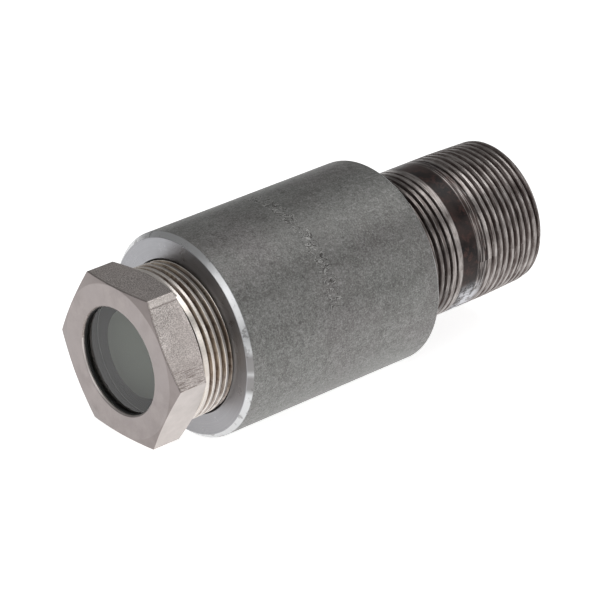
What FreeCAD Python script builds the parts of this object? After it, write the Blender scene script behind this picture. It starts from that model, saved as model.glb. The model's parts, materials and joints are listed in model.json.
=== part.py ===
"""Sight glass: a hexagon window plug screwed into a full coupling on a short threaded nipple.

All sizes are in millimetres. The nipple's free end is centred on the origin and +X points out of
it, so the whole fitting lies on the negative side of X with its window facing -X. +Z is up.
The male and female threads are real right-hand helices, cut from tapered blanks.
"""
import FreeCAD, Part
import Sketcher
import os
from FreeCAD import Vector
from math import pi

os.makedirs("parts", exist_ok=True)
doc = FreeCAD.newDocument("SightGlass")

# a helical cut must remove this share of a full V groove, and any turned cut at least this volume
GROOVE_SHARE = (0.6, 1.1)
LEAST_CHANGE = 0.1

# name: value or formula. Stations along X end in _x; the rest are lengths, radii and plain numbers.
SIZES = {
    # pipe thread, 11-1/2 threads to the inch, taper 1 in 16 on the diameter
    "thread_step": "25.4 / 11.5",
    "taper": "1 / 32",
    "taper_angle": "atan(taper) / 1deg",
    "flank": "tan(30deg)",
    "crest_at_end": "20.55",
    "thread_depth": "1.5",
    "root_half": "0.06",
    "over_cut": "0.2",
    "lead_in": "2.1",
    "thread_gap": "0.2",
    "crest_gap": "0.02",
    "crest_half": "thread_step / 2 - root_half - thread_depth * flank",
    "end_chamfer": "0.95",
    # nipple, 1-1/4 inch schedule 80 pipe
    "nipple_length": "63.5",
    "pipe_radius": "42.16 / 2",
    "pipe_bore": "32.46 / 2",
    "nipple_engagement": "17.3",
    "free_turns": "11",
    "inner_turns": "15.7",
    "nipple_start_x": "-nipple_length",
    "taper_meeting_x": "-25.5",
    "free_taper_end_x": "(crest_at_end - pipe_radius) / taper",
    "inner_taper_end_x": "nipple_start_x - free_taper_end_x",
    "end_face_radius": "19.6",
    "clear_radius": "24",
    "overshoot": "1",
    # full coupling, class 3000
    "coupling_radius": "57.15 / 2",
    "coupling_length": "66.68",
    "coupling_front_chamfer": "1.35",
    "coupling_back_chamfer": "0.5",
    "mouth_radius": "21.5",
    "mouth_drop": "1.7",
    "middle_bore": "19",
    "front_turns": "10",
    "back_turns": "10.3",
    "female_depth": "24",
    "coupling_back_x": "nipple_start_x + nipple_engagement",
    "coupling_front_x": "coupling_back_x - coupling_length",
    # window plug
    "hex_flats": "42.86",
    "hex_height": "11.2",
    "hex_turn": "58",
    "hex_face_radius": "hex_flats / 2",
    "hex_corner": "hex_flats / 2 / cos(30deg)",
    "hex_clear_radius": "26",
    "front_slope": "tan(14deg)",
    "back_slope": "tan(28deg)",
    "plug_thread_length": "23.6",
    "plug_engagement": "13.95",
    "plug_turns": "11",
    "window_radius": "14.89",
    "lip_edge": "0.2",
    "sink": "4",
    "lip": "0.9",
    "seat_radius": "17",
    "plug_end_x": "coupling_front_x + plug_engagement",
    "shoulder_x": "plug_end_x - plug_thread_length",
    "face_x": "shoulder_x - hex_height",
    "seat_x": "face_x + lip",
    # glass and what clamps it, from the lip inwards
    "gasket_radius": "16.85",
    "gasket_opening": "14.75",
    "front_gasket_thickness": "0.77",
    "glass_radius": "16.6",
    "glass_thickness": "11.2",
    "glass_edge": "0.3",
    "ring_opening": "12.25",
    "rear_gasket_thickness": "1.5",
    "washer_thickness": "0.5",
    "ring_radius": "16.97",
    "ring_thickness": "5",
    "slot_width": "3",
    "slot_depth": "2",
    "glass_front_x": "seat_x + front_gasket_thickness",
    "glass_back_x": "glass_front_x + glass_thickness",
    "washer_x": "glass_back_x + rear_gasket_thickness",
    "ring_front_x": "washer_x + washer_thickness",
    "ring_back_x": "ring_front_x + ring_thickness",
}

sheet = doc.addObject("Spreadsheet::Sheet", "Sizes")
for row, (alias, formula) in enumerate(SIZES.items(), start=1):
    sheet.set(f"A{row}", alias)
    sheet.set(f"B{row}", "=" + formula)
    sheet.setAlias(f"B{row}", alias)
doc.recompute()


def size(formula):
    """The value of a formula written in the sheet's names."""
    value = sheet.evalExpression(formula)
    return float(getattr(value, "Value", value))


def drive(thing, target, formula):
    """Let the sheet set one property or sketch dimension."""
    words = formula
    for alias in sorted(SIZES, key=len, reverse=True):
        words = replace_word(words, alias, "Sizes." + alias)
    thing.setExpression(target, words)


def replace_word(text, word, new):
    """Replace whole names only, and leave one that already has its sheet in front."""
    out, place = "", 0
    while True:
        found = text.find(word, place)
        if found < 0:
            return out + text[place:]
        after = text[found + len(word):found + len(word) + 1] or " "
        before = text[found - 1:found] or " "
        joined = after.isalnum() or after == "_" or before.isalnum() or before in ("_", ".")
        out += text[place:found] + (word if joined else new)
        place = found + len(word)


def new_body(name):
    body = doc.addObject("PartDesign::Body", name)
    body.Label = name
    return body


def origin_plane(body, role):
    return next(f for f in body.Origin.OriginFeatures if f.Role == role)


def add_line(sketch, start, end):
    return sketch.addGeometry(Part.LineSegment(Vector(*start, 0), Vector(*end, 0)))


def hold(sketch, axis, line, formula):
    """Hold the first point of a line at a signed distance from the sketch's origin."""
    value = size(formula)
    if abs(value) < 1e-9:
        other = "Vertical" if axis == "X" else "Horizontal"
        sketch.addConstraint(Sketcher.Constraint(other, -1, 1, line, 1))
        return
    ends = (-1, 1, line, 1) if value > 0 else (line, 1, -1, 1)
    number = sketch.addConstraint(Sketcher.Constraint("Distance" + axis, *ends, abs(value)))
    drive(sketch, f"Constraints[{number}]", formula if value > 0 else f"-({formula})")


def outline(body, name, points, plane="XY_Plane", offset=None):
    """A closed sketch through points, each a pair of formulas."""
    sketch = body.newObject("Sketcher::SketchObject", name)
    sketch.AttachmentSupport = [(origin_plane(body, plane), "")]
    sketch.MapMode = "FlatFace"
    if offset:
        drive(sketch, "AttachmentOffset.Base.z", offset)
    places = [(size(a), size(b)) for a, b in points]
    lines = [add_line(sketch, p, places[(i + 1) % len(places)]) for i, p in enumerate(places)]
    for i, line in enumerate(lines):
        following = lines[(i + 1) % len(lines)]
        sketch.addConstraint(Sketcher.Constraint("Coincident", line, 2, following, 1))
    for line, (a, b) in zip(lines, points):
        hold(sketch, "X", line, a)
        hold(sketch, "Y", line, b)
    doc.recompute()
    return sketch


def solid_volume(body):
    return 0 if body.Tip is None or body.Tip.Shape.isNull() else body.Tip.Shape.Volume


def finish_feature(body, feature, before):
    """Make a feature the body's tip and say how much material it changed."""
    body.Tip = feature
    doc.recompute()
    change = feature.Shape.Volume - before
    print(f"{body.Label:18} {feature.Label:22} {change:+10.1f} mm3")
    return change


def turned(body, name, points, cut=False, plane="XY_Plane"):
    """Turn an outline about the X axis, as added or removed material.

    The plane is where the round faces get their seam, which a helix cut must not run along.
    """
    before = solid_volume(body)
    sketch = outline(body, name + "_outline", points, plane=plane)
    kind = "PartDesign::Groove" if cut else "PartDesign::Revolution"
    feature = body.newObject(kind, name)
    feature.Profile = sketch
    feature.ReferenceAxis = (sketch, ["H_Axis"])
    feature.Angle = 360
    change = finish_feature(body, feature, before)
    if (change < 0) != cut or abs(change) < LEAST_CHANGE:
        raise RuntimeError(f"{name} changed {change} mm3")


def thread(body, name, left, root, rise, turns, half, depth, outward):
    """Cut a right-hand helical V groove that runs toward +X on the taper.

    left is the station of its first turn, where it crosses the +Z side. root is the radius at the
    bottom of the groove there, half its half width and depth how far it opens. rise is +1 where the
    radius grows toward +X. outward says that the groove opens away from the axis, as on a male thread.
    """
    before = solid_volume(body)
    open_radius = f"({root}) {'+' if outward else '-'} ({depth})"
    wide = f"({half} + ({depth}) * flank)"
    sketch = outline(body, name + "_outline", [
        (f"{left} - {half}", root),
        (f"{left} + {half}", root),
        (f"{left} + {wide}", open_radius),
        (f"{left} - {wide}", open_radius),
    ], plane="XZ_Plane")
    feature = body.newObject("PartDesign::SubtractiveHelix", name)
    feature.Profile = sketch
    feature.ReferenceAxis = (sketch, ["H_Axis"])
    feature.Mode = "pitch-height-angle"
    drive(feature, "Pitch", "thread_step * 1mm")
    drive(feature, "Height", f"{turns} * thread_step * 1mm")
    drive(feature, "Angle", f"{rise} * taper_angle * 1deg")
    removed = -finish_feature(body, feature, before)
    section = size(f"({half} * 2 + thread_depth * flank) * thread_depth")
    groove = section * 2 * pi * size(f"crest_at_end * {turns}")
    if not GROOVE_SHARE[0] * groove < removed < GROOVE_SHARE[1] * groove:
        raise RuntimeError(f"{name} removed {removed:.0f} mm3, not about {groove:.0f}")


def male_left(end, toward, turns):
    """Where a male thread's left-most turn starts, lead_in beyond its small end at one side."""
    return f"({end} - lead_in)" if toward > 0 else f"({end} + lead_in - {turns} * thread_step)"


def male_thread(body, name, end, toward, turns):
    """A male thread whose small end is at end, and which grows toward +1 or -1 along X."""
    left = male_left(end, toward, turns)
    reach = f"({left} - ({end}))" if toward > 0 else f"(({end}) - {left})"
    root = f"crest_at_end - thread_depth + {reach} * taper"
    thread(body, name, left, root, toward, turns, "root_half", "thread_depth + over_cut", True)


def female_thread(body, name, mouth, inward, turns, first_groove, male_end):
    """A female thread inward from a mouth, in step with the male thread that has first_groove.

    male_end is the station of the male thread's small end, which sets where the taper lies.
    """
    wanted = f"{mouth} - lead_in" if inward > 0 else f"{mouth} + lead_in - {turns} * thread_step"
    steps = round(size(f"({wanted} - {first_groove}) / thread_step"))
    left = f"({first_groove} + {steps + 0.5} * thread_step)"
    reach = f"({male_end} - {left})" if inward > 0 else f"({left} - ({male_end}))"
    root = f"crest_at_end + {reach} * taper + thread_gap"
    thread(body, name, left, root, -inward, turns, "crest_half", "thread_depth - crest_gap", False)


def make_nipple():
    body = new_body("nipple")
    turned(body, "inner_blank", [
        ("taper_meeting_x", "pipe_bore"),
        ("taper_meeting_x", "crest_at_end + (taper_meeting_x - nipple_start_x) * taper"),
        ("nipple_start_x", "crest_at_end"),
        ("nipple_start_x", "pipe_bore"),
    ])
    male_thread(body, "inner_thread", "nipple_start_x", 1, "inner_turns")
    turned(body, "free_blank", [
        ("0", "pipe_bore"),
        ("0", "crest_at_end"),
        ("taper_meeting_x", "crest_at_end - taper_meeting_x * taper"),
        ("taper_meeting_x", "pipe_bore"),
    ])
    male_thread(body, "free_thread", "0", -1, "free_turns")
    turned(body, "pipe_outside", [
        ("free_taper_end_x", "pipe_radius"),
        ("free_taper_end_x", "clear_radius"),
        ("inner_taper_end_x", "clear_radius"),
        ("inner_taper_end_x", "pipe_radius"),
    ], cut=True)
    end_chamfer(body, "free_end", "0", 1)
    end_chamfer(body, "inner_end", "nipple_start_x", -1)
    return body


def end_chamfer(body, name, end, outward):
    """Take the corner off a threaded end; outward is +1 where the end faces +X."""
    inside = "-" if outward > 0 else "+"
    beyond = "+" if outward > 0 else "-"
    turned(body, name, [
        (f"{end} {beyond} end_chamfer", "end_face_radius - end_chamfer"),
        (f"{end} {beyond} end_chamfer", "clear_radius"),
        (f"{end} {inside} (clear_radius - end_face_radius)", "clear_radius"),
    ], cut=True)


def make_coupling():
    body = new_body("coupling")
    front_minor = "crest_at_end - thread_depth + thread_gap + over_cut"
    turned(body, "forging", [
        ("coupling_front_x", f"{front_minor} + plug_engagement * taper"),
        ("coupling_front_x", "coupling_radius - coupling_front_chamfer"),
        ("coupling_front_x + coupling_front_chamfer", "coupling_radius"),
        ("coupling_back_x - coupling_back_chamfer", "coupling_radius"),
        ("coupling_back_x", "coupling_radius - coupling_back_chamfer"),
        ("coupling_back_x", f"{front_minor} + nipple_engagement * taper"),
        ("coupling_back_x - female_depth", f"{front_minor} + (nipple_engagement - female_depth) * taper"),
        ("coupling_back_x - female_depth", "middle_bore"),
        ("coupling_front_x + female_depth", "middle_bore"),
        ("coupling_front_x + female_depth", f"{front_minor} + (plug_engagement - female_depth) * taper"),
    ], plane="XZ_Plane")
    nipple_groove = male_left("nipple_start_x", 1, "inner_turns")
    female_thread(body, "back_thread", "coupling_back_x", -1, "back_turns", nipple_groove, "nipple_start_x")
    plug_groove = male_left("plug_end_x", -1, "plug_turns")
    female_thread(body, "front_thread", "coupling_front_x", 1, "front_turns", plug_groove, "plug_end_x")
    mouth(body, "front_mouth", "coupling_front_x", 1)
    mouth(body, "back_mouth", "coupling_back_x", -1)
    return body


def mouth(body, name, face, inward):
    """A 45 degree lead at a threaded mouth."""
    inside = "+" if inward > 0 else "-"
    outside = "-" if inward > 0 else "+"
    turned(body, name, [
        (f"{face} {outside} overshoot", "mouth_radius + overshoot"),
        (f"{face} {inside} mouth_drop", "mouth_radius - mouth_drop"),
        (f"{face} {outside} overshoot", "mouth_radius - mouth_drop"),
    ], cut=True)


def make_plug():
    body = new_body("sight_plug_body")
    turned(body, "stem", [
        ("plug_end_x", "seat_radius"),
        ("plug_end_x", "crest_at_end"),
        ("shoulder_x - sink", "crest_at_end + (plug_thread_length + sink) * taper"),
        ("shoulder_x - sink", "seat_radius"),
    ])
    male_thread(body, "plug_thread", "plug_end_x", -1, "plug_turns")
    end_chamfer(body, "stem_end", "plug_end_x", 1)
    hexagon_head(body)
    head_chamfer(body, "front_chamfer", "face_x", 1, "front_slope")
    head_chamfer(body, "back_chamfer", "shoulder_x", -1, "back_slope")
    turned(body, "window_opening", [
        ("face_x - overshoot", "0"),
        ("face_x - overshoot", "window_radius + overshoot + lip_edge"),
        ("face_x + lip_edge", "window_radius"),
        ("seat_x", "window_radius"),
        ("seat_x", "0"),
    ], cut=True)
    turned(body, "glass_bore", [
        ("seat_x", "0"),
        ("seat_x", "seat_radius"),
        ("shoulder_x + overshoot", "seat_radius"),
        ("shoulder_x + overshoot", "0"),
    ], cut=True)
    return body


def hexagon_head(body):
    """The hexagon, padded from the face to the shoulder."""
    before = solid_volume(body)
    turns = [f"hex_turn * 1deg + {60 * side}deg" for side in range(6)]
    corners = [(f"hex_corner * cos({turn})", f"hex_corner * sin({turn})") for turn in turns]
    sketch = outline(body, "hexagon_outline", corners, plane="YZ_Plane", offset="face_x * 1mm")
    feature = body.newObject("PartDesign::Pad", "hexagon")
    feature.Profile = sketch
    drive(feature, "Length", "hex_height * 1mm")
    finish_feature(body, feature, before)


def head_chamfer(body, name, face, inward, slope):
    """Turn the hexagon's corners off at a slope that starts where the flats' middles are."""
    inside = "+" if inward > 0 else "-"
    turned(body, name, [
        (face, "hex_face_radius"),
        (f"{face} {inside} (hex_clear_radius - hex_face_radius) * {slope}", "hex_clear_radius"),
        (face, "hex_clear_radius"),
    ], cut=True)


def make_front_gasket():
    body = new_body("front_gasket")
    turned(body, "ring", [
        ("seat_x", "gasket_opening"),
        ("seat_x", "gasket_radius"),
        ("glass_front_x", "gasket_radius"),
        ("glass_front_x", "gasket_opening"),
    ])
    return body


def make_glass():
    body = new_body("glass_lens")
    turned(body, "disc", [
        ("glass_front_x", "0"),
        ("glass_front_x", "glass_radius - glass_edge"),
        ("glass_front_x + glass_edge", "glass_radius"),
        ("glass_back_x - glass_edge", "glass_radius"),
        ("glass_back_x", "glass_radius - glass_edge"),
        ("glass_back_x", "0"),
    ])
    return body


def make_rear_gasket():
    body = new_body("rear_gasket")
    turned(body, "ring", [
        ("glass_back_x", "ring_opening"),
        ("glass_back_x", "gasket_radius"),
        ("washer_x", "gasket_radius"),
        ("washer_x", "ring_opening"),
    ])
    return body


def make_washer():
    body = new_body("slip_washer")
    turned(body, "ring", [
        ("washer_x", "ring_opening"),
        ("washer_x", "glass_radius"),
        ("ring_front_x", "glass_radius"),
        ("ring_front_x", "ring_opening"),
    ])
    return body


def make_ring():
    """The retaining ring, with two slots across its back for a face spanner."""
    body = new_body("retaining_ring")
    turned(body, "ring", [
        ("ring_front_x", "ring_opening"),
        ("ring_front_x", "ring_radius"),
        ("ring_back_x", "ring_radius"),
        ("ring_back_x", "ring_opening"),
    ])
    before = solid_volume(body)
    sketch = outline(body, "slot_outline", [
        ("ring_back_x - slot_depth", "-slot_width / 2"),
        ("ring_back_x + overshoot", "-slot_width / 2"),
        ("ring_back_x + overshoot", "slot_width / 2"),
        ("ring_back_x - slot_depth", "slot_width / 2"),
    ])
    feature = body.newObject("PartDesign::Pocket", "slots")
    feature.Profile = sketch
    feature.Type = "ThroughAll"
    feature.Midplane = True
    finish_feature(body, feature, before)
    return body


def check(bodies):
    """Stop on any broken feature or solid."""
    for thing in doc.Objects:
        if "Invalid" in thing.State or "Error" in thing.State:
            raise RuntimeError(f"{thing.Label} is {thing.State}")
    for body in bodies:
        shape = body.Shape
        if shape.isNull() or not shape.isValid() or len(shape.Solids) != 1:
            raise RuntimeError(f"{body.Label} is not one valid solid")


def export(bodies):
    for body in bodies:
        body.Shape.exportStep(f"parts/{body.Label}.step")


pieces = [
    make_nipple(),
    make_coupling(),
    make_plug(),
    make_front_gasket(),
    make_glass(),
    make_rear_gasket(),
    make_washer(),
    make_ring(),
]
doc.recompute()
check(pieces)
export(pieces)
print("face at", size("face_x"), "overall", -size("face_x"))
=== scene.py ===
"""Sight glass: hexagon window plug, forged coupling and threaded nipple, lying on a pale floor.

Everything is in metres in the CAD's own frame: +X runs from the window to the nipple's open end.
The plug, coupling, nipple, front gasket and glass are lathe-like meshes: one closed profile at every
angle round the X axis, so the helical threads, the hexagon and the tapers come from formulas of
angle and station. The rear gasket, slip washer and retaining ring stay the CAD's own meshes.
"""
import bpy
import json
import math
import numpy as np
from mathutils import Matrix, Vector

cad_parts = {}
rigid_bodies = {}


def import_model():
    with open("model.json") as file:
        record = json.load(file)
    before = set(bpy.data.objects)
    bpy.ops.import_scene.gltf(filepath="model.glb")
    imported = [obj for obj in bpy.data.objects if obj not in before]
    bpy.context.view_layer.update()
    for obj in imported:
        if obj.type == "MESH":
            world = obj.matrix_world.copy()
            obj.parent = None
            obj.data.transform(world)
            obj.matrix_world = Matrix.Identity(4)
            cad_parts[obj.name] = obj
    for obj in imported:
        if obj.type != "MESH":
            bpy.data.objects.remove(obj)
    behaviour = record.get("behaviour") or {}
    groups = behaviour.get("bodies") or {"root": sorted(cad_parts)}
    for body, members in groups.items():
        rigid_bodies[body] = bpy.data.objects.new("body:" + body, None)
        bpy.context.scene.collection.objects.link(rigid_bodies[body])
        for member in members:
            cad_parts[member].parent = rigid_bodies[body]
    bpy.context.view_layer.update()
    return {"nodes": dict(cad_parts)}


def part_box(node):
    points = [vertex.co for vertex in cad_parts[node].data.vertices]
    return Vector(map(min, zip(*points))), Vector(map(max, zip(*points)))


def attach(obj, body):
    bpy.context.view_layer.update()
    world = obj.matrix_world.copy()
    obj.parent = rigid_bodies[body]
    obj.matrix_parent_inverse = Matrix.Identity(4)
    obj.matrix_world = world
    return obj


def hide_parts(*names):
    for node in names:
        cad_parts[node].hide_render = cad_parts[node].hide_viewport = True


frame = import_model()

MM = 0.001

# ---------------------------------------------------------------- stations and sizes from the frame
PLUG_LOW, PLUG_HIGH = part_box("sight_plug_body")
COUPLING_LOW, COUPLING_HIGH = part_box("coupling")
NIPPLE_LOW, NIPPLE_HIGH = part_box("nipple")
GASKET_LOW, GASKET_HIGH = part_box("front_gasket")
GLASS_LOW, GLASS_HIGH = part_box("glass_lens")

FACE_X = PLUG_LOW[0]
PLUG_END_X = PLUG_HIGH[0]
COUPLING_FRONT_X = COUPLING_LOW[0]
COUPLING_BACK_X = COUPLING_HIGH[0]
NIPPLE_START_X = NIPPLE_LOW[0]
NIPPLE_END_X = NIPPLE_HIGH[0]
COUPLING_R = COUPLING_HIGH[2]
PIPE_R = NIPPLE_HIGH[2]

# the pipe thread: its crest and end face radii are those at its small end
THREAD_STEP = 25.4 / 11.5 * MM
TAPER = 1 / 32
CREST_AT_END = 20.62 * MM
THREAD_DEPTH = 1.25 * MM
ROOT_HALF = 0.05 * MM
FLANK = math.tan(math.radians(60))
END_FACE_R = 19.6 * MM
PLUG_THREAD_LENGTH = 20.5 * MM
INNER_THREAD_LENGTH = 31.2 * MM
FREE_THREAD_LENGTH = 20.2 * MM
# the least half width of a groove and of a crest
GROOVE_HALF = 0.1 * MM
CREST_HALF = 0.06 * MM
# a fading groove's bottom rises this far, as a share of its depth, so that it ends past the crest
FADE_RISE = 1.25
# a radius beyond every part, for a thread that nothing cuts back
NO_LIMIT = 1.0

# the plug's hexagon, window and seat
HEX_FLATS = 42.86 * MM
HEX_HEIGHT = 11.2 * MM
HEX_TURN = math.radians(58)
HEX_SECTOR = math.radians(60)
HEX_FACE_R = 21.25 * MM
HEX_BACK_R = 21.3 * MM
HEX_CORNER_R = 0.35 * MM
FRONT_SLOPE = math.tan(math.radians(14))
BACK_SLOPE = math.tan(math.radians(28))
WINDOW_R = 14.89 * MM
WINDOW_BEVEL = 0.38 * MM
WINDOW_BEVEL_DEPTH = 0.5 * MM
SEAT_X = FACE_X + 0.9 * MM
SEAT_R = 17 * MM
NECK_R = 20.7 * MM
NECK_LENGTH = 0.25 * MM
THREAD_FROM_SHOULDER = 0.3 * MM
GASKET_INNER_R = 14.75 * MM
GASKET_OUTER_R = 16.85 * MM
GLASS_BEVEL = 0.3 * MM

# the coupling and the nipple
MOUTH_R = 21.45 * MM
MOUTH_BEVEL = 2.2 * MM
FRONT_BEVEL = 1.35 * MM
BACK_BEVEL = 0.6 * MM
SOCKET_DEPTH = 24 * MM
SOCKET_END_R = 20.4 * MM
MIDDLE_BORE_DEPTH = 25 * MM
MIDDLE_BORE_R = 19 * MM
NIPPLE_MIDDLE_X = FACE_X + 106.3 * MM
MIDDLE_GAP = 0.2 * MM
PIPE_BORE_R = 16.23 * MM
BORE_BEVEL = 0.5 * MM

FLOOR_Z = -COUPLING_R
# how far the glass goes into the gaskets, and the front gasket stays off the lip
CONTACT = 0.01 * MM
FULL_TURN = 2 * math.pi

# stations where a thread's groove crosses the angle +Z
PLUG_GROOVE_X = FACE_X + 14.54 * MM + THREAD_STEP / 2
INNER_GROOVE_X = FACE_X + 95.0 * MM + THREAD_STEP / 2
FREE_GROOVE_X = FACE_X + 110.42 * MM + THREAD_STEP / 2

# stations of the finish: the middle of the dent band, then pairs between which a finish fades
DENT_BAND_X = FACE_X + 52 * MM
DULL_THREAD_END = (FACE_X + 98.2 * MM, FACE_X + 99.2 * MM)
NEAR_THREAD_END = (FACE_X + 102.8 * MM, FACE_X + 103.2 * MM)
FREE_THREAD_START = (FACE_X + 108.4 * MM, FACE_X + 108.9 * MM)
RUN_OUT_END = (FACE_X + 111.5 * MM, FACE_X + 113 * MM)
SCUFF_START = (FACE_X + 102 * MM, FACE_X + 104.5 * MM)
SCUFF_END = (FACE_X + 109 * MM, FACE_X + 113 * MM)


# ---------------------------------------------------------------- meshes
CORNER_POINTS = 5
# how far up a groove's flank, as shares of its height, the rows of the mesh lie
FLANK_SHARES = (0.0, 0.3, 0.65, 0.92, 1.0, 1.08)
ROWS_PER_TURN = 2 * len(FLANK_SHARES) + 1


def corner(before, at, after, radius):
    """Points of a rounded corner between two straight runs, at every angle."""
    a = before - at
    b = after - at
    la = np.linalg.norm(a, axis=-1, keepdims=True)
    lb = np.linalg.norm(b, axis=-1, keepdims=True)
    reach = np.minimum(radius, 0.45 * np.minimum(la, lb))
    ways = np.linspace(0, 1, CORNER_POINTS)
    return [at + reach * ((1 - t) ** 2 * a / la + t ** 2 * b / lb) for t in ways]


def profile(points, n):
    """Rows for a run of profile points (x, r, rounding), each a number or one value per angle.

    A run's first and last points are rounded only where the run is a whole closed profile.
    """
    flat = [np.stack([np.broadcast_to(x, n), np.broadcast_to(r, n)], axis=-1).astype(float)
            for x, r, _ in points]
    rows = []
    for i, (_, _, rounding) in enumerate(points):
        if rounding:
            rows += corner(flat[i - 1], flat[i], flat[(i + 1) % len(flat)], rounding)
        else:
            rows.append(flat[i])
    return rows


class Thread:
    """A male taper thread from its small end, growing toward +1 or -1 along X.

    groove_x is a station where a groove crosses the first angle. Past full_length the grooves get
    shallower over fade turns. No part of it stands out past pipe_r.
    """

    def __init__(self, end, toward, groove_x, full_length, fade, pipe_r=NO_LIMIT):
        self.end = end
        self.toward = toward
        self.groove_x = groove_x
        self.full_length = full_length
        self.fade = fade
        self.pipe_r = pipe_r

    def crest(self, x):
        """Radius of the crest at a station."""
        z = (x - self.end) * self.toward
        cone = np.minimum(CREST_AT_END + z * TAPER, self.pipe_r)
        return np.minimum(cone, END_FACE_R + z)

    def root(self, x):
        """Radius of the groove's bottom at a station."""
        z = (x - self.end) * self.toward
        lost = np.clip((z - self.full_length) / (self.fade * THREAD_STEP), 0, 1)
        return CREST_AT_END + z * TAPER - THREAD_DEPTH * (1 - FADE_RISE * lost)

    def rows(self, x_from, x_to, angles):
        """Rows that follow the helix, so every crest and root edge is a line of the mesh.

        The rows past either end are pulled back onto it. A row joins, at the last angle, the row
        one turn further on at the first angle.
        """
        turn = (angles - angles[0]) / FULL_TURN
        first = math.floor((x_from - self.groove_x) / THREAD_STEP) - 1
        last = math.ceil((x_to - self.groove_x) / THREAD_STEP) + 1
        out = []
        for k in range(first, last + 1):
            groove = self.groove_x + (k + turn) * THREAD_STEP
            root = self.root(groove)
            cone = CREST_AT_END + (groove - self.end) * self.toward * TAPER
            rise = np.maximum(np.minimum(cone, self.pipe_r) - root, 0)
            edge = np.clip(ROOT_HALF + rise / FLANK, GROOVE_HALF, THREAD_STEP / 2 - CREST_HALF)
            for side in (-1, 1):
                shares = FLANK_SHARES if side > 0 else FLANK_SHARES[::-1]
                for share in shares:
                    x = groove + side * (ROOT_HALF + share * (edge - ROOT_HALF))
                    out.append(self.point(x, groove, root, x_from, x_to))
            x = groove + THREAD_STEP / 2
            out.append(self.point(x, groove, root, x_from, x_to))
        return out

    def point(self, x, groove, root, x_from, x_to):
        """One row: its station, kept between the ends, and the radius there."""
        x = np.clip(x, x_from, x_to)
        flank = root + np.maximum(np.abs(x - groove) - ROOT_HALF, 0) * FLANK
        near = np.abs(x - groove) <= THREAD_STEP / 2
        r = np.minimum(self.crest(x), np.where(near, flank, NO_LIMIT))
        return np.stack([x, r], axis=-1)


class Lathe:
    """A closed mesh built from rings of (x, r), one value per angle; rings run +X on the outside."""

    def __init__(self, angles):
        self.angles = angles
        self.rows = []
        self.threads = []

    def add(self, points):
        self.rows += profile(points, len(self.angles))

    def add_thread(self, thread, x_from, x_to):
        first = len(self.rows)
        rows = thread.rows(x_from, x_to, self.angles)
        ends = [thread_end(thread, x, self.angles) for x in (x_from, x_to)]
        self.rows += [ends[0]] + rows + [ends[1]]
        self.threads.append((first, len(self.rows) - 1, x_from, x_to))

    def ids(self):
        """Vertex numbers by row and angle, with the rows pulled onto a thread's end made one."""
        n = len(self.angles)
        ids = np.arange(len(self.rows) * n).reshape(len(self.rows), n)
        for first, last, x_from, x_to in self.threads:
            for j in range(first + 1, last):
                x = self.rows[j][:, 0]
                ids[j] = np.where(x <= x_from, ids[first], np.where(x >= x_to, ids[last], ids[j]))
        for j, row in enumerate(self.rows):
            if np.all(row[:, 1] == 0):
                ids[j] = ids[j, 0]
        return ids

    def faces(self):
        """Quads between neighbouring rows and angles.

        Across the seam, where the angles begin again, a thread's row joins the row one turn on.
        """
        ids = self.ids()
        following = np.roll(ids, -1, axis=0)
        quads = np.stack([ids[:, :-1], ids[:, 1:], following[:, 1:], following[:, :-1]], axis=-1)
        quads = quads.reshape(-1, 4)
        count = len(self.rows)
        seam = []
        for j in range(count):
            over = (j + 1) % count
            shift = 0
            for first, last, _, _ in self.threads:
                if first <= j and j < over <= last:
                    shift = ROWS_PER_TURN
                    cut_off = j == first or over + shift >= last
            if shift and cut_off:
                continue
            seam.append((ids[j, -1], ids[j + shift, 0], ids[over + shift, 0], ids[over, -1]))
        return np.concatenate([quads, np.array(seam)])

    def piece(self, name):
        """The mesh as an object: corners made one are dropped, and so are vertices left unused."""
        grid = np.stack(self.rows)
        x = grid[..., 0]
        r = grid[..., 1]
        points = np.stack([x, r * np.cos(self.angles), r * np.sin(self.angles)], axis=-1).reshape(-1, 3)
        faces = []
        for quad in self.faces().tolist():
            ring = [v for k, v in enumerate(quad) if v != quad[k - 1]]
            if len(set(ring)) > 2:
                faces.append(ring)
        used = sorted({v for face in faces for v in face})
        renumber = {v: k for k, v in enumerate(used)}
        faces = [[renumber[v] for v in face] for face in faces]
        mesh = bpy.data.meshes.new(name)
        mesh.from_pydata(points[used].tolist(), [], faces)
        mesh.shade_smooth()
        mesh.normals_split_custom_set_from_vertices(area_normals(points[used], faces).tolist())
        piece = bpy.data.objects.new(name, mesh)
        bpy.context.scene.collection.objects.link(piece)
        return piece


def thread_end(thread, x, angles):
    """The ring where a thread is cut off at one station."""
    turn = (angles - angles[0]) / FULL_TURN
    away = (x - thread.groove_x) / THREAD_STEP - turn
    groove = x - (away - np.round(away)) * THREAD_STEP
    return thread.point(np.full_like(angles, x), groove, thread.root(groove), x, x)


def area_normals(points, faces):
    """Vertex normals weighted by area, so flat faces stay flat up to their rounded edges."""
    quads = np.array([face if len(face) == 4 else face + face[:1] for face in faces])
    a, b, c, d = (points[quads[:, k]] for k in range(4))
    cross = np.cross(c - a, d - b)
    total = np.zeros_like(points)
    for k in range(4):
        np.add.at(total, quads[:, k], cross)
    length = np.linalg.norm(total, axis=1, keepdims=True)
    return total / np.where(length > 0, length, 1)


def even_angles(n):
    """Angles from +Z round the X axis, for a round piece."""
    return math.pi / 2 + np.arange(n) * 2 * math.pi / n


def hexagon_angles():
    """Angles round the hexagon from one corner, closer together at its corners."""
    near_corner = np.array([0, 0.35, 0.7, 1.05, 1.4, 2, 3, 4.5, 6, 8])
    along_side = np.arange(10, 30, 2.5)
    half = np.radians(np.concatenate([near_corner, along_side]))
    sector = np.concatenate([half, [math.radians(30)], HEX_SECTOR - half[:0:-1]])
    return np.concatenate([HEX_TURN + k * HEX_SECTOR + sector for k in range(6)])


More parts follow.
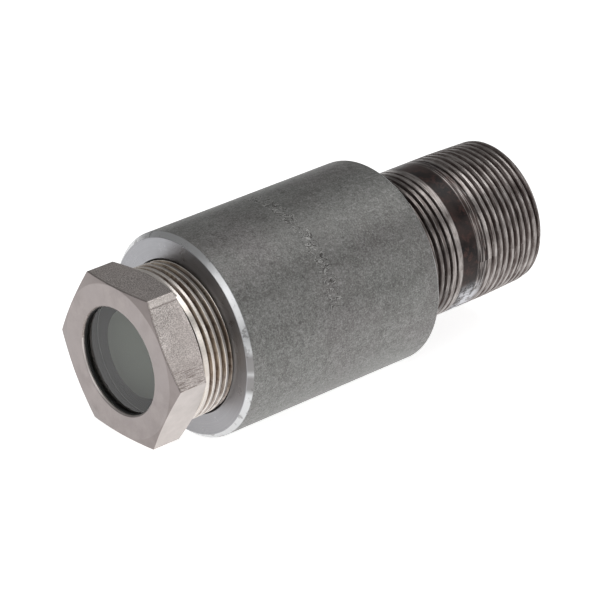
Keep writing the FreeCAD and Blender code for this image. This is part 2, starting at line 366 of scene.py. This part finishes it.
def hexagon_radius(angles):
    """Distance from the axis to the hexagon's side, with its corners slightly rounded."""
    off = (angles - HEX_TURN) % HEX_SECTOR
    side = HEX_FLATS / 2 / np.cos(off - math.radians(30))
    from_corner = np.minimum(off, HEX_SECTOR - off)
    centre = (HEX_FLATS / 2 - HEX_CORNER_R) / math.cos(math.radians(30))
    inside = np.maximum(HEX_CORNER_R ** 2 - (centre * np.sin(from_corner)) ** 2, 0)
    rounded = centre * np.cos(from_corner) + np.sqrt(inside)
    return np.where(inside > 0, np.minimum(side, rounded), side)


# ---------------------------------------------------------------- the pieces
def make_plug():
    """The hexagon head, its male thread and the bore that holds the glass."""
    angles = hexagon_angles()
    side = hexagon_radius(angles)
    shoulder = FACE_X + HEX_HEIGHT
    front_drop = (side - HEX_FACE_R) * FRONT_SLOPE
    back_drop = (side - HEX_BACK_R) * BACK_SLOPE
    lathe = Lathe(angles)
    lathe.add([
        (SEAT_X, SEAT_R, 0),
        (SEAT_X, WINDOW_R, 0.05 * MM),
        (FACE_X + WINDOW_BEVEL_DEPTH, WINDOW_R, 0.12 * MM),
        (FACE_X, WINDOW_R + WINDOW_BEVEL, 0.12 * MM),
        (FACE_X, HEX_FACE_R, 0.12 * MM),
        (FACE_X + front_drop, side, 0.14 * MM),
        (shoulder - back_drop, side, 0.14 * MM),
        (shoulder, HEX_BACK_R, 0.1 * MM),
        (shoulder, NECK_R, 0.1 * MM),
        (shoulder + NECK_LENGTH, NECK_R, 0),
    ])
    groove_x = PLUG_GROOVE_X + (HEX_TURN - math.pi / 2) / FULL_TURN * THREAD_STEP
    thread = Thread(PLUG_END_X, -1, groove_x, PLUG_THREAD_LENGTH, 1.6)
    lathe.add_thread(thread, shoulder + THREAD_FROM_SHOULDER, PLUG_END_X)
    lathe.add([
        (PLUG_END_X, SEAT_R + BORE_BEVEL, 0),
        (PLUG_END_X - BORE_BEVEL, SEAT_R, 0),
    ])
    return lathe.piece("plug")


def make_coupling():
    """The coupling's turned outside, bevelled ends and plain bore."""
    lathe = Lathe(even_angles(256))
    lathe.add([
        (COUPLING_FRONT_X + MOUTH_BEVEL, MOUTH_R - MOUTH_BEVEL, 0.2 * MM),
        (COUPLING_FRONT_X, MOUTH_R, 0.12 * MM),
        (COUPLING_FRONT_X, COUPLING_R - FRONT_BEVEL, 0.18 * MM),
        (COUPLING_FRONT_X + FRONT_BEVEL, COUPLING_R, 0.25 * MM),
        (COUPLING_BACK_X - BACK_BEVEL, COUPLING_R, 0.5 * MM),
        (COUPLING_BACK_X, COUPLING_R - BACK_BEVEL, 0.18 * MM),
        (COUPLING_BACK_X, MOUTH_R, 0.12 * MM),
        (COUPLING_BACK_X - MOUTH_BEVEL, MOUTH_R - MOUTH_BEVEL, 0.2 * MM),
        (COUPLING_BACK_X - SOCKET_DEPTH, SOCKET_END_R, 0.2 * MM),
        (COUPLING_BACK_X - MIDDLE_BORE_DEPTH, MIDDLE_BORE_R, 0.2 * MM),
        (COUPLING_FRONT_X + MIDDLE_BORE_DEPTH, MIDDLE_BORE_R, 0.2 * MM),
        (COUPLING_FRONT_X + SOCKET_DEPTH, SOCKET_END_R, 0.2 * MM),
    ])
    return lathe.piece("coupling_body")


def make_nipple():
    """The pipe nipple: a thread from each end, a short plain length between them, and the bore."""
    lathe = Lathe(even_angles(256))
    inner = Thread(NIPPLE_START_X, 1, INNER_GROOVE_X, INNER_THREAD_LENGTH, 1.4, PIPE_R)
    lathe.add_thread(inner, NIPPLE_START_X, NIPPLE_MIDDLE_X)
    free = Thread(NIPPLE_END_X, -1, FREE_GROOVE_X, FREE_THREAD_LENGTH, 2.4, PIPE_R)
    lathe.add_thread(free, NIPPLE_MIDDLE_X + MIDDLE_GAP, NIPPLE_END_X)
    lathe.add([
        (NIPPLE_END_X, PIPE_BORE_R + BORE_BEVEL, 0),
        (NIPPLE_END_X - BORE_BEVEL, PIPE_BORE_R, 0),
        (NIPPLE_START_X + BORE_BEVEL, PIPE_BORE_R, 0),
        (NIPPLE_START_X, PIPE_BORE_R + BORE_BEVEL, 0),
    ])
    return lathe.piece("nipple_pipe")


def make_front_gasket():
    """The rubber ring between the plug's lip and the glass, set back from the lip by a hair."""
    lathe = Lathe(even_angles(128))
    front = GASKET_LOW[0] + CONTACT
    back = GASKET_HIGH[0]
    lathe.add([
        (back, GASKET_INNER_R, 0.15 * MM),
        (front, GASKET_INNER_R, 0.15 * MM),
        (front, GASKET_OUTER_R, 0.1 * MM),
        (back, GASKET_OUTER_R, 0.1 * MM),
    ])
    return lathe.piece("gasket_ring")


def make_glass():
    """The window disc, pressed a hair into the rubber on both sides."""
    lathe = Lathe(even_angles(128))
    front = GLASS_LOW[0] - CONTACT
    back = GLASS_HIGH[0] + CONTACT
    rim = GLASS_HIGH[2]
    lathe.add([
        (front, 0, 0),
        (front, rim - GLASS_BEVEL, 0),
        (front + GLASS_BEVEL, rim, 0),
        (back - GLASS_BEVEL, rim, 0),
        (back, rim - GLASS_BEVEL, 0),
        (back, 0, 0),
    ])
    return lathe.piece("glass_disc")


# ---------------------------------------------------------------- node materials
class Nodes:
    """Short calls for a material's node tree."""

    def __init__(self, name):
        self.material = bpy.data.materials.new(name)
        self.material.use_nodes = True
        self.tree = self.material.node_tree
        self.shader = self.tree.nodes["Principled BSDF"]
        self.coords = self.tree.nodes.new("ShaderNodeTexCoord").outputs["Object"]
        self.position = self.split(self.coords)

    def new(self, kind, **values):
        node = self.tree.nodes.new(kind)
        for key, value in values.items():
            setattr(node, key, value)
        return node

    def link(self, source, target):
        self.tree.links.new(source, target)

    def put(self, target, value):
        if hasattr(value, "links"):
            self.link(value, target)
        else:
            target.default_value = value

    def math(self, operation, a, b=0.0, clamp=False):
        node = self.new("ShaderNodeMath", operation=operation, use_clamp=clamp)
        self.put(node.inputs[0], a)
        self.put(node.inputs[1], b)
        return node.outputs[0]

    def split(self, vector):
        node = self.new("ShaderNodeSeparateXYZ")
        self.link(vector, node.inputs[0])
        return node.outputs

    def join(self, x, y, z):
        node = self.new("ShaderNodeCombineXYZ")
        for target, value in zip(node.inputs, (x, y, z)):
            self.put(target, value)
        return node.outputs[0]

    def radius(self):
        """Distance from the X axis."""
        across, up = (self.math("POWER", self.position[k], 2.0) for k in (1, 2))
        return self.math("SQRT", self.math("ADD", across, up))

    def angle(self):
        """Angle round the X axis from +Y toward +Z, in radians."""
        return self.math("ARCTAN2", self.position[2], self.position[1])

    def noise(self, scale, detail, roughness=0.55, vector=None, distortion=0.0):
        node = self.new("ShaderNodeTexNoise")
        self.link(vector or self.coords, node.inputs["Vector"])
        node.inputs["Scale"].default_value = scale
        node.inputs["Detail"].default_value = detail
        node.inputs["Roughness"].default_value = roughness
        node.inputs["Distortion"].default_value = distortion
        return node.outputs["Fac"]

    def stretched(self, detail, roughness, *ways, shift=0.0, distortion=0.0):
        """Noise with its own scale each way: two or three pairs (value, patches per unit of it).

        With two pairs, shift moves to another part of the same noise.
        """
        parts = [self.times(value, scale) for value, scale in ways]
        vector = self.join(*(parts + [shift])[:3])
        return self.noise(1.0, detail, roughness, vector, distortion)

    def range(self, value, low, high, out_low=0.0, out_high=1.0):
        """A smooth step from one output to another, as the value goes from low to high."""
        node = self.new("ShaderNodeMapRange", interpolation_type="SMOOTHSTEP")
        limits = {"From Min": low, "From Max": high, "To Min": out_low, "To Max": out_high}
        for key, number in limits.items():
            self.put(node.inputs[key], number)
        self.link(value, node.inputs["Value"])
        return node.outputs["Result"]

    def mix(self, factor, a, b):
        node = self.new("ShaderNodeMix", data_type="RGBA")
        self.put(node.inputs["Factor"], factor)
        self.put(node.inputs["A"], (*a, 1) if isinstance(a, tuple) else a)
        self.put(node.inputs["B"], (*b, 1) if isinstance(b, tuple) else b)
        return node.outputs["Result"]

    def layer(self, base, colour, strength, value, low, high):
        """A colour laid over a base: none of it at low, and this strength of it at high."""
        return self.mix(self.range(value, low, high, 0.0, strength), base, colour)

    def near(self, value, centre, half, soft):
        """1 within half of a centre, falling to 0 over soft."""
        off = self.math("ABSOLUTE", self.math("SUBTRACT", value, centre))
        return self.range(off, half, half + soft, 1.0, 0.0)

    def by_angle(self, *stops):
        """A value that follows the angle round X, through (degrees from +Y toward +Z, value)."""
        turn = self.math("DIVIDE", self.math("FLOORED_MODULO", self.angle(), FULL_TURN), FULL_TURN)
        node = self.new("ShaderNodeValToRGB")
        self.link(turn, node.inputs["Fac"])
        ramp = node.color_ramp
        ramp.interpolation = "EASE"
        ramp.elements.remove(ramp.elements[1])
        for k, (degrees, value) in enumerate(stops):
            place = ramp.elements.new(degrees / 360) if k else ramp.elements[0]
            place.position = degrees / 360
            place.color = (value, value, value, 1)
        return node.outputs["Color"]

    def times(self, *values):
        """The product of all the values."""
        product = values[0]
        for value in values[1:]:
            product = self.math("MULTIPLY", product, value)
        return product

    def bump(self, height, distance, strength):
        node = self.new("ShaderNodeBump")
        self.link(height, node.inputs["Height"])
        node.inputs["Distance"].default_value = distance
        node.inputs["Strength"].default_value = strength
        return node.outputs["Normal"]

    def finish(self, **sockets):
        """Set the shader's sockets, named with _ for a space, and give the material."""
        for key, value in sockets.items():
            target = self.shader.inputs[key.replace("_", " ")]
            self.put(target, (*value, 1) if isinstance(value, tuple) and len(value) == 3 else value)
        return self.material


def tool_marks(n, base, around, dark_from, dark, pale_strength, pale):
    """Fine dark and pale cutter lines along a thread, around patches per radian."""
    marks = n.stretched(3, 0.6, (n.position[0], 4200), (n.angle(), around))
    base = n.layer(base, dark, 0.5, marks, dark_from, 0.42)
    return n.layer(base, pale, pale_strength, marks, 0.56, 0.66)


def plug_metal():
    """Warm satin stainless steel: turned face, grainy sawn flats, rubbed threads whose troughs are darkened
    partly as dirt and partly as painted shade, with painted highlights on their crest edges.
    """
    n = Nodes("warm_satin_steel")
    r = n.radius()
    x, y, z = n.position
    angle = n.angle()
    beyond_face = n.times(n.math("MAXIMUM", n.math("SUBTRACT", r, HEX_FACE_R), 0.0), FRONT_SLOPE)
    behind_face = n.math("SUBTRACT", n.math("SUBTRACT", x, FACE_X), beyond_face)
    on_face = n.range(behind_face, 0.06 * MM, 0.16 * MM, 1.0, 0.0)
    on_thread = n.range(x, FACE_X + HEX_HEIGHT + 0.05 * MM, FACE_X + HEX_HEIGHT + 0.2 * MM)
    on_flat = n.math("SUBTRACT", n.math("SUBTRACT", 1.0, on_face), on_thread, clamp=True)
    mottled = n.noise(230, 5, 0.62)
    clouds = n.noise(75, 3, 0.5)

    # turned face and its slightly duller chamfer
    rings = n.stretched(3, 0.6, (r, 5200), (angle, 2.5))
    face = n.mix(n.range(mottled, 0.25, 0.75), (0.275, 0.243, 0.236), (0.375, 0.335, 0.325))
    face = n.layer(face, (0.335, 0.30, 0.295), 0.5, clouds, 0.35, 0.65)
    face = n.layer(face, (0.17, 0.142, 0.132), 0.3, r, HEX_FACE_R, HEX_FACE_R + 0.12 * MM)

    # flats: pitted upper sides with cutter chatter low down, a fine line and a pale band of painted
    # highlight at the top corner toward -Y, a fine line behind the chamfer, and smooth lower sides, a
    # little paler as painted light
    pits = n.noise(3300, 3, 0.7)
    flat = n.mix(n.range(pits, 0.4, 0.6), (0.30, 0.265, 0.25), (0.70, 0.65, 0.625))
    flat = n.layer(flat, (0.56, 0.50, 0.475), 0.4, clouds, 0.35, 0.65)
    toward_y = n.range(y, -11.4 * MM, -11.7 * MM)
    smooth_low_side_painted_light = n.range(z, 1.0 * MM, 0.7 * MM)
    teeth = n.stretched(2, 0.5, (x, 300), (angle, 95))
    chatter = n.times(n.range(teeth, 0.47, 0.6, 0.0, 0.75), n.range(z, 7.5 * MM, 4.5 * MM))
    flat = n.mix(chatter, flat, (0.24, 0.20, 0.185))
    # a pale band of painted highlight along the top corner toward -Y
    pale_edge_highlight_strip = n.times(toward_y, n.range(z, 20.15 * MM, 20.3 * MM))
    flat = n.mix(n.times(pale_edge_highlight_strip, 0.45), flat, (0.80, 0.74, 0.70))
    corner_line = n.times(toward_y, n.near(z, 20.0 * MM, 0.08 * MM, 0.14 * MM))
    chamfer_line = n.near(behind_face, 0.3 * MM, 0.08 * MM, 0.12 * MM)
    fine_lines = n.math("MAXIMUM", corner_line, chamfer_line)
    flat = n.mix(n.times(fine_lines, 0.6), flat, (0.20, 0.165, 0.15))
    # the smooth lower sides: a real finish, made a little paler than the pitted flats as painted light from
    # below
    smooth = n.mix(n.range(mottled, 0.3, 0.7), (0.50, 0.46, 0.44), (0.60, 0.555, 0.535))
    flat = n.mix(smooth_low_side_painted_light, flat, smooth)
    base = n.mix(on_face, flat, face)

    # thread: patches of straw and grey, darkening toward the troughs that is partly dirt and partly painted
    # shade, dark stains in the troughs, cutter lines, painted highlights on the crest edges
    streak = n.stretched(3, 0.6, (x, 420), (angle, 2.2))
    straw = n.mix(n.range(streak, 0.35, 0.6), (0.33, 0.255, 0.195), (0.60, 0.52, 0.42))
    grey = n.mix(n.range(streak, 0.35, 0.6), (0.35, 0.305, 0.28), (0.60, 0.555, 0.53))
    thread = n.mix(n.range(clouds, 0.4, 0.6), grey, straw)
    crest_r = n.math("ADD", CREST_AT_END, n.times(n.math("SUBTRACT", PLUG_END_X, x), TAPER))
    depth = n.math("SUBTRACT", crest_r, r)
    # darker down the flanks toward the troughs: partly dirt, partly painted shade
    thread = n.layer(thread, (0.32, 0.265, 0.225), 0.8, depth, 0.08 * MM, 0.9 * MM)
    stain = n.stretched(5, 0.65, (x, 260), (angle, 6.5), shift=3.0)
    deep = n.range(depth, 0.05 * MM, 0.3 * MM, 0.35, 1.0)
    stained = n.times(n.range(stain, 0.50, 0.60, 0.0, 0.65), deep)
    thread = n.mix(stained, thread, (0.17, 0.125, 0.10))
    thread = tool_marks(n, thread, 3.0, 0.50, (0.20, 0.155, 0.125), 0.45, (0.86, 0.80, 0.74))
    # a painted highlight along the crest edges
    crest_highlight = n.near(depth, 0.05 * MM, 0.03 * MM, 0.05 * MM)
    thread = n.mix(crest_highlight, thread, (0.88, 0.83, 0.78))
    base = n.mix(on_thread, base, thread)

    rough = n.math("ADD", n.range(mottled, 0.3, 0.7, 0.32, 0.42), n.times(on_flat, 0.06))
    height = n.times(rings, on_face, 0.35)
    height = n.math("ADD", height, n.times(pits, on_flat, n.math("SUBTRACT", 1.0, smooth_low_side_painted_light), 1.5))
    height = n.math("ADD", height, n.times(mottled, 0.25))
    return n.finish(Base_Color=base, Metallic=1.0, Roughness=rough, Normal=n.bump(height, 0.03 * MM, 0.6))


def forged_metal():
    """Dark oiled forging, finely pitted and scuffed, with bright turned faces and chamfers."""
    n = Nodes("dark_forged_steel")
    r = n.radius()
    x, y, z = n.position
    angle = n.angle()
    speckle = n.noise(2100, 3, 0.8)
    patch = n.noise(620, 4, 0.7)
    blotch = n.noise(190, 6, 0.75)
    wide = n.noise(34, 4, 0.55)
    along = n.stretched(4, 0.6, (x, 160), (y, 1500), (z, 1500))

    # forged outside: mottled grey with a little brown and green, dark pits and pale scratches,
    # scuffed on top near the nipple
    pale = (0.46, 0.455, 0.45)
    base = n.mix(n.range(blotch, 0.3, 0.7), (0.128, 0.121, 0.114), (0.255, 0.251, 0.243))
    base = n.layer(base, (0.190, 0.197, 0.186), 0.6, wide, 0.35, 0.65)
    base = n.layer(base, (0.190, 0.178, 0.178), 0.5, wide, 0.5, 0.35)
    base = n.layer(base, (0.085, 0.078, 0.073), 0.5, n.noise(95, 5, 0.7), 0.58, 0.68)
    base = n.layer(base, (0.32, 0.314, 0.304), 0.45, patch, 0.53, 0.68)
    base = n.layer(base, (0.085, 0.08, 0.075), 0.5, patch, 0.47, 0.33)
    base = n.layer(base, pale, 0.38, speckle, 0.51, 0.64)
    base = n.layer(base, (0.05, 0.048, 0.046), 0.5, speckle, 0.49, 0.36)
    base = n.mix(n.times(n.range(along, 0.60, 0.70), 0.35), base, (0.40, 0.395, 0.39))
    behind = n.range(x, COUPLING_BACK_X - 17 * MM, COUPLING_BACK_X - 6 * MM)
    scuffs = n.range(n.noise(330, 5, 0.75), 0.55, 0.66)
    scuffed = n.times(behind, n.range(z, 12 * MM, 20 * MM), scuffs)
    base = n.mix(n.times(scuffed, 0.45), base, pale)

    # a worn band of shallow unreadable dents round the upper side, drawn as pale strokes with a dark line
    # of painted shade beside each
    dents = n.stretched(1, 0.4, (x, 420), (angle, 17), distortion=1.6)
    upper_side = n.by_angle((70, 0.0), (78, 1.0), (158, 1.0), (168, 0.0))
    band = n.times(n.near(x, DENT_BAND_X, 1.9 * MM, 0.4 * MM), upper_side)
    stroke = n.times(n.near(dents, 0.50, 0.018, 0.02), band)
    # the dark line beside each stroke is painted shade of the dent
    dent_painted_shade = n.times(n.near(dents, 0.555, 0.018, 0.02), band)
    base = n.mix(n.times(stroke, 0.6), base, (0.52, 0.515, 0.50))
    base = n.mix(n.times(dent_painted_shade, 0.85), base, (0.045, 0.041, 0.038))

    # turned ends and chamfers, with a dark patch on the chamfers toward -Y; the inside is painted near
    # black as shade
    front = n.range(x, COUPLING_FRONT_X + 1.25 * MM, COUPLING_FRONT_X + 1.5 * MM, 1.0, 0.0)
    back = n.range(x, COUPLING_BACK_X - 0.65 * MM, COUPLING_BACK_X - 0.5 * MM)
    outer = n.range(r, MOUTH_R - 0.1 * MM, MOUTH_R + 0.05 * MM)
    turned = n.times(n.math("MAXIMUM", front, back), outer)
    on_end = n.range(x, COUPLING_FRONT_X + 0.04 * MM, COUPLING_FRONT_X + 0.12 * MM, 1.0, 0.0)
    rings = n.stretched(3, 0.6, (r, 7000), (x, 7000))
    chamfer = n.mix(rings, (0.50, 0.505, 0.515), (0.70, 0.705, 0.71))
    chamfer = n.layer(chamfer, (0.15, 0.145, 0.14), 0.6, n.noise(210, 4, 0.7), 0.56, 0.64)
    dark_chamfer_patch = n.near(n.math("ABSOLUTE", angle), math.radians(174), math.radians(3), math.radians(5))
    chamfer = n.mix(n.times(dark_chamfer_patch, 0.75), chamfer, (0.13, 0.12, 0.115))
    end = n.mix(rings, (0.265, 0.265, 0.28), (0.385, 0.385, 0.40))
    base = n.mix(turned, base, n.mix(on_end, chamfer, end))
    # the bore and mouth bevel are painted near black: painted shade of the inside
    inside = n.range(r, MOUTH_R, MOUTH_R + 0.2 * MM, 1.0, 0.0)
    base = n.mix(inside, base, (0.03, 0.027, 0.025))

    rough = n.math("SUBTRACT", n.range(blotch, 0.3, 0.7, 0.40, 0.53), n.times(turned, 0.14))
    metal = n.range(turned, 0.0, 1.0, 0.45, 1.0)
    height = n.math("ADD", speckle, n.math("ADD", n.times(blotch, 1.2), n.times(stroke, 3.0)))
    return n.finish(Base_Color=base, Metallic=metal, Roughness=rough, Normal=n.bump(height, 0.04 * MM, 0.6))


def nipple_metal():
    """Black pipe: glossy dark scale, cut threads rubbed to grey steel with painted shade down their flanks
    and in their troughs, and a pale patch low on one side.
    """
    n = Nodes("black_pipe_steel")
    r = n.radius()
    x = n.position[0]
    angle = n.angle()
    fine = n.noise(1500, 5, 0.6)
    blotch = n.noise(140, 5, 0.6)
    streak = n.stretched(4, 0.6, (x, 300), (angle, 3.0))
    scale = n.mix(n.range(blotch, 0.35, 0.65), (0.012, 0.009, 0.009), (0.040, 0.026, 0.023))
    scale = n.layer(scale, (0.075, 0.037, 0.031), 0.7, n.noise(420, 4, 0.7), 0.5, 0.68)

    # how far below the crest a point lies, on whichever of the two threads it belongs to
    crest_free = n.math("SUBTRACT", CREST_AT_END, n.times(x, TAPER))
    crest_inner = n.math("ADD", CREST_AT_END, n.times(n.math("SUBTRACT", x, NIPPLE_START_X), TAPER))
    crest = n.math("MINIMUM", n.math("MINIMUM", crest_free, crest_inner), PIPE_R)
    depth = n.math("SUBTRACT", crest, r)
    free = n.range(x, *FREE_THREAD_START)
    near = n.range(x, *NEAR_THREAD_END, 1.0, 0.0)
    cut = n.math("MAXIMUM", free, near)

    # cut threads: rubbed crests, flanks and troughs darkened as painted shade, darker still near the
    # coupling, cutter lines, and scale left in the run-out
    crest_steel = n.mix(n.range(streak, 0.3, 0.7), (0.22, 0.195, 0.185), (0.43, 0.40, 0.385))
    # the flanks are a darker copy of the crest steel: painted shade
    flank = n.mix(n.range(streak, 0.35, 0.65), (0.12, 0.098, 0.092), (0.28, 0.25, 0.24))
    rubbed = n.mix(n.range(depth, 0.02 * MM, 0.2 * MM), crest_steel, flank)
    # darker still toward the troughs: painted shade
    rubbed = n.layer(rubbed, (0.12, 0.088, 0.080), 0.85, depth, 0.35 * MM, 1.3 * MM)
    # the thread next to the coupling is darker, and its troughs get a near-black painted shade
    inner = n.range(x, *DULL_THREAD_END, 0.72, 0.0)
    trough_shade = n.range(depth, 0.05 * MM, 0.3 * MM, 0.0, 0.7)
    dim_by_coupling_and_trough_shade = n.times(near, n.math("MAXIMUM", inner, trough_shade), 0.8)
    rubbed = n.mix(dim_by_coupling_and_trough_shade, rubbed, (0.02, 0.014, 0.012))
    rubbed = tool_marks(n, rubbed, 3.5, 0.52, (0.07, 0.05, 0.045), 0.5, (0.62, 0.585, 0.56))
    run_out = n.range(x, *RUN_OUT_END, 1.0, 0.0)
    lines = n.stretched(2, 0.5, (x, 2600), (angle, 2.0))
    rubbed = n.mix(n.times(run_out, n.range(lines, 0.50, 0.60, 0.9, 0.1), free), rubbed, scale)
    base = n.mix(cut, scale, rubbed)

    # a pale patch, low on the side toward -Y
    side = n.near(angle, math.radians(-139), math.radians(12), math.radians(16))
    pale_low_patch = n.times(side, n.range(x, *SCUFF_END, 1.0, 0.0), n.range(x, *SCUFF_START))
    pale_low_patch = n.times(pale_low_patch, n.range(n.noise(420, 5, 0.7), 0.38, 0.58))
    base = n.mix(pale_low_patch, base, (0.62, 0.62, 0.65))
    rough = n.math("ADD", n.range(blotch, 0.3, 0.7, 0.28, 0.40), n.times(pale_low_patch, 0.3))
    metal = n.range(cut, 0.0, 1.0, 0.1, 0.95)
    n.shader.inputs["Specular IOR Level"].default_value = 0.15
    return n.finish(Base_Color=base, Metallic=metal, Roughness=rough, Normal=n.bump(fine, 0.012 * MM, 0.4))


def gasket_rubber():
    """The front gasket: dull black rubber."""
    n = Nodes("black_gasket")
    grain = n.noise(2500, 4, 0.6)
    base = n.mix(grain, (0.010, 0.010, 0.010), (0.022, 0.022, 0.022))
    rough = n.range(grain, 0.3, 0.7, 0.6, 0.8)
    return n.finish(Base_Color=base, Roughness=rough, Normal=n.bump(grain, 0.008 * MM, 0.3))


def window_glass():
    """Thick greenish glass, clear in front, hazed behind and ground dull round its rim."""
    n = Nodes("window_glass")
    x = n.position[0]
    film = n.noise(55, 5, 0.6)
    haze = n.range(x, GLASS_LOW[0] + 4 * MM, GLASS_HIGH[0] - 1 * MM, 0.0, 0.45)
    n.shader.inputs["IOR"].default_value = 1.5
    tint = n.mix(film, (0.84, 0.90, 0.82), (0.88, 0.93, 0.86))
    ground = n.range(n.radius(), 16.3 * MM, 16.45 * MM)
    tint = n.mix(ground, tint, (0.035, 0.029, 0.029))
    behind = n.range(x, GLASS_HIGH[0] - 0.1 * MM, GLASS_HIGH[0] - 0.05 * MM)
    tint = n.mix(n.times(behind, 0.8), tint, n.mix(film, (0.23, 0.243, 0.217), (0.29, 0.30, 0.27)))
    clear = n.math("SUBTRACT", n.math("SUBTRACT", 1.0, ground), n.times(behind, 0.6), clamp=True)
    n.shader.inputs["Specular IOR Level"].default_value = 0.25
    rough = n.math("ADD", haze, n.times(ground, 0.3))
    return n.finish(Base_Color=tint, Roughness=rough, Transmission_Weight=clear)


def fibre_gasket():
    """The rear gasket: pressed grey fibre sheet."""
    n = Nodes("grey_fibre_gasket")
    fibres = n.noise(1400, 5, 0.7)
    base = n.mix(n.range(fibres, 0.3, 0.7), (0.022, 0.018, 0.018), (0.045, 0.038, 0.038))
    return n.finish(Base_Color=base, Roughness=0.8, Normal=n.bump(fibres, 0.01 * MM, 0.3))


def ring_metal():
    """The small turned steel parts behind the glass."""
    n = Nodes("turned_steel")
    r = n.radius()
    rings = n.stretched(3, 0.6, (r, 8000), (n.position[0], 8000))
    base = n.mix(rings, (0.42, 0.42, 0.39), (0.60, 0.60, 0.56))
    return n.finish(Base_Color=base, Metallic=0.6, Roughness=n.range(rings, 0.3, 0.7, 0.4, 0.6))


# ---------------------------------------------------------------- the object
def place(piece, material, body, slot, *nodes):
    """Give a piece its material and the body it rides on, and hide the CAD nodes it stands for."""
    piece.data.materials.append(material)
    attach(piece, body)
    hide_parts(*nodes)


def dress(node, material):
    """Give a CAD node that stays a finished material."""
    for holder in frame["nodes"][node].material_slots:
        holder.material = material


place(make_plug(), plug_metal(), "sight_plug", "plated_steel", "sight_plug_body")
place(make_coupling(), forged_metal(), "fitting", "forged_steel", "coupling")
place(make_nipple(), nipple_metal(), "fitting", "black_steel", "nipple")
rubber = gasket_rubber()
place(make_front_gasket(), rubber, "glass_pack", "gasket_rubber", "front_gasket")
place(make_glass(), window_glass(), "glass_pack", "window_glass", "glass_lens")
dress("rear_gasket", fibre_gasket())
steel = ring_metal()
dress("slip_washer", steel)
dress("retaining_ring", steel)


# ---------------------------------------------------------------- floor, light and camera
FLOOR_CENTRE = (0.2, 0.28)
FLOOR_R = 0.85
FLOOR_GLOW = 0.78
WORLD_STRENGTH = 0.28
LAMP_DISTANCE = 1.1
SIGHT = Vector((0.57925, 0.66680, -0.46888))
CAMERA_UP = Vector((0.30749, 0.35397, 0.88326))
CAMERA_FROM_FACE = Vector((-497.25, -644.44, 449.47)) * MM
FOCAL_LENGTH = 215.2
SENSOR_WIDTH = 36


def make_floor():
    """A pale disc under the object, faintly glowing so it photographs white."""
    mesh = bpy.data.meshes.new("floor")
    rim = [(FLOOR_CENTRE[0] + FLOOR_R * math.cos(a), FLOOR_CENTRE[1] + FLOOR_R * math.sin(a), FLOOR_Z)
           for a in even_angles(96)]
    mesh.from_pydata(rim, [], [tuple(range(len(rim)))])
    floor = bpy.data.objects.new("floor", mesh)
    bpy.context.scene.collection.objects.link(floor)
    n = Nodes("pale_floor")
    grain = n.noise(40, 3)
    white = n.mix(grain, (0.90, 0.90, 0.90), (0.93, 0.93, 0.93))
    floor.data.materials.append(n.finish(Base_Color=white, Roughness=0.85,
                                         Emission_Color=(1.0, 1.0, 1.0), Emission_Strength=FLOOR_GLOW))


def soft_light(name, toward, size, brightness):
    """A rectangular soft box: brightness is what a surface mirroring it would show."""
    light = bpy.data.lights.new(name, "AREA")
    light.shape = "RECTANGLE"
    light.size, light.size_y = size
    light.energy = brightness * math.pi * size[0] * size[1]
    lamp = bpy.data.objects.new(name, light)
    away = Vector(toward).normalized()
    lamp.location = Vector((FACE_X / 2, 0, 0)) + away * LAMP_DISTANCE
    lamp.rotation_euler = (-away).to_track_quat("-Z", "Y").to_euler()
    bpy.context.scene.collection.objects.link(lamp)


def make_world():
    """An even dim surround, so metal facing away from the lamps stays dark."""
    world = bpy.data.worlds.new("studio")
    world.use_nodes = True
    back = world.node_tree.nodes["Background"]
    back.inputs["Color"].default_value = (1, 1, 1, 1)
    back.inputs["Strength"].default_value = WORLD_STRENGTH
    bpy.context.scene.world = world


def make_camera():
    """Looks down at the window end from the front left, as the photograph does."""
    sight = SIGHT.normalized()
    right = sight.cross(CAMERA_UP).normalized()
    up = right.cross(sight)
    camera = bpy.data.objects.new("camera", bpy.data.cameras.new("camera"))
    camera.data.sensor_width = SENSOR_WIDTH
    camera.data.lens = FOCAL_LENGTH
    turn = Matrix((right, up, -sight)).transposed().to_4x4()
    face_centre = Vector((FACE_X, 0, 0))
    camera.matrix_world = Matrix.Translation(face_centre + CAMERA_FROM_FACE) @ turn
    bpy.context.scene.collection.objects.link(camera)
    bpy.context.scene.camera = camera


make_camera()
make_floor()
make_world()
soft_light("right_top", (0.58, -0.07, 0.81), (0.7, 0.4), 2.6)
soft_light("right_front", (0.58, -0.74, 0.34), (0.35, 0.35), 2.6)
soft_light("left_front", (-0.80, -0.30, 0.50), (0.8, 0.8), 1.3)

bpy.context.scene.view_settings.view_transform = "Standard"
